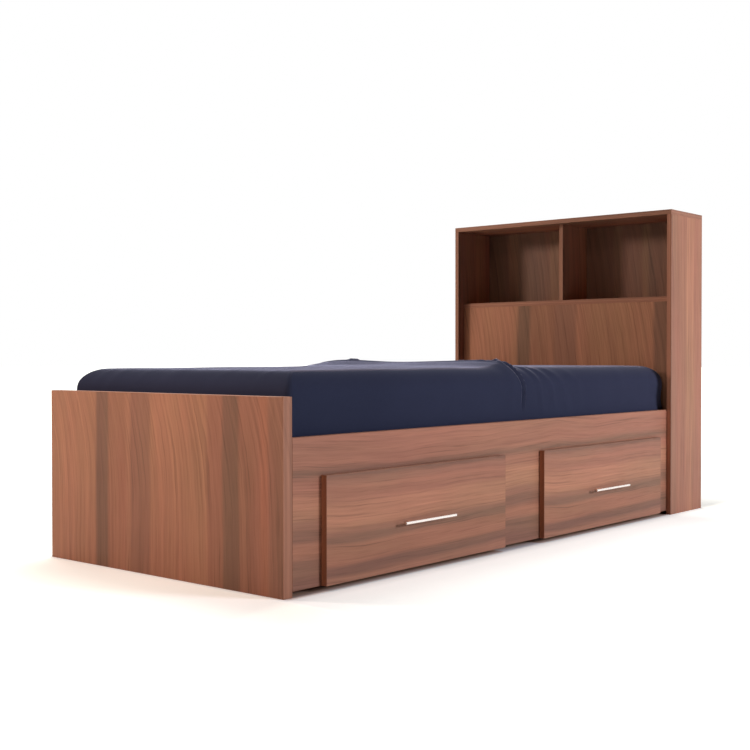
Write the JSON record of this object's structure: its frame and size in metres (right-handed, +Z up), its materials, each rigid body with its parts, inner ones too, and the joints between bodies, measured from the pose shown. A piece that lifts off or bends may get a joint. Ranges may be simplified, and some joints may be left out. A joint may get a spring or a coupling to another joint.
{
  "type": "single bed",
  "caption": "Single bed in laminated board with a bookcase headboard, a low footboard, a slatted base with a mattress under a fitted sheet, and pull-out drawers in one side rail.",
  "frame": {"origin": "centre of the whole bed's bounding box on the floor", "axes": "+Z up, +Y from the footboard towards the headboard, +X towards the side with the drawers, which is the way they open"},
  "size_m": [1.042, 2.32, 1.156],
  "materials": {
    "laminated_board": "satin",
    "slat_wood": "matte",
    "drawer_board": "satin",
    "handle_metal": "polished",
    "zinc_steel": "satin",
    "ticking": "matte",
    "sheet_cloth": "matte"
  },
  "bodies": {
    "bed": {"footboard": "laminated_board", "side_rail_right": "laminated_board", "side_rail_left": "laminated_board", "headboard_side_left": "laminated_board", "headboard_side_right": "laminated_board", "headboard_top": "laminated_board", "headboard_shelf": "laminated_board", "headboard_divider": "laminated_board", "headboard_front_panel": "laminated_board", "headboard_back_panel": "laminated_board", "headboard_base_board": "laminated_board", "centre_panel": "laminated_board", "partition_1": "laminated_board", "partition_2": "laminated_board", "partition_3": "laminated_board", "partition_4": "laminated_board", "slat_ledge_right": "slat_wood", "slat_ledge_left": "slat_wood", "slat_01": "slat_wood", "slat_02": "slat_wood", "slat_03": "slat_wood", "slat_04": "slat_wood", "slat_05": "slat_wood", "slat_06": "slat_wood", "slat_07": "slat_wood", "slat_08": "slat_wood", "slat_09": "slat_wood", "slat_10": "slat_wood", "slat_11": "slat_wood", "wood_screws": "zinc_steel", "cam_locks": "zinc_steel", "cam_bolts": "zinc_steel", "mattress": "ticking", "fitted_sheet": "sheet_cloth", "foot_runner_outer_left": "zinc_steel", "foot_runner_outer_right": "zinc_steel", "head_runner_outer_left": "zinc_steel", "head_runner_outer_right": "zinc_steel"},
    "foot_drawer": {"foot_drawer_front": "laminated_board", "foot_drawer_side_left": "drawer_board", "foot_drawer_side_right": "drawer_board", "foot_drawer_back": "drawer_board", "foot_drawer_bottom": "drawer_board", "foot_drawer_handle": "handle_metal", "foot_drawer_handle_screws": "zinc_steel", "foot_runner_inner_left": "zinc_steel", "foot_runner_inner_right": "zinc_steel"},
    "foot_runner_middle": {"foot_runner_middle_left": "zinc_steel", "foot_runner_middle_right": "zinc_steel"},
    "head_drawer": {"head_drawer_front": "laminated_board", "head_drawer_side_left": "drawer_board", "head_drawer_side_right": "drawer_board", "head_drawer_back": "drawer_board", "head_drawer_bottom": "drawer_board", "head_drawer_handle": "handle_metal", "head_drawer_handle_screws": "zinc_steel", "head_runner_inner_left": "zinc_steel", "head_runner_inner_right": "zinc_steel"},
    "head_runner_middle": {"head_runner_middle_left": "zinc_steel", "head_runner_middle_right": "zinc_steel"}
  },
  "joints": [
    {"name": "foot_drawer_slide", "type": "slide", "parent": "bed", "child": "foot_drawer", "axis": [1, 0, 0], "range_m": [0, 0.44]},
    {"name": "foot_runner_slide", "type": "slide", "parent": "bed", "child": "foot_runner_middle", "axis": [1, 0, 0], "range_m": [0, 0.22]},
    {"name": "head_drawer_slide", "type": "slide", "parent": "bed", "child": "head_drawer", "axis": [1, 0, 0], "range_m": [0, 0.44]},
    {"name": "head_runner_slide", "type": "slide", "parent": "bed", "child": "head_runner_middle", "axis": [1, 0, 0], "range_m": [0, 0.22]}
  ],
  "couplings": [
    {"joint": "foot_runner_slide", "follows": "foot_drawer_slide", "ratio": 0.5},
    {"joint": "head_runner_slide", "follows": "head_drawer_slide", "ratio": 0.5}
  ]
}
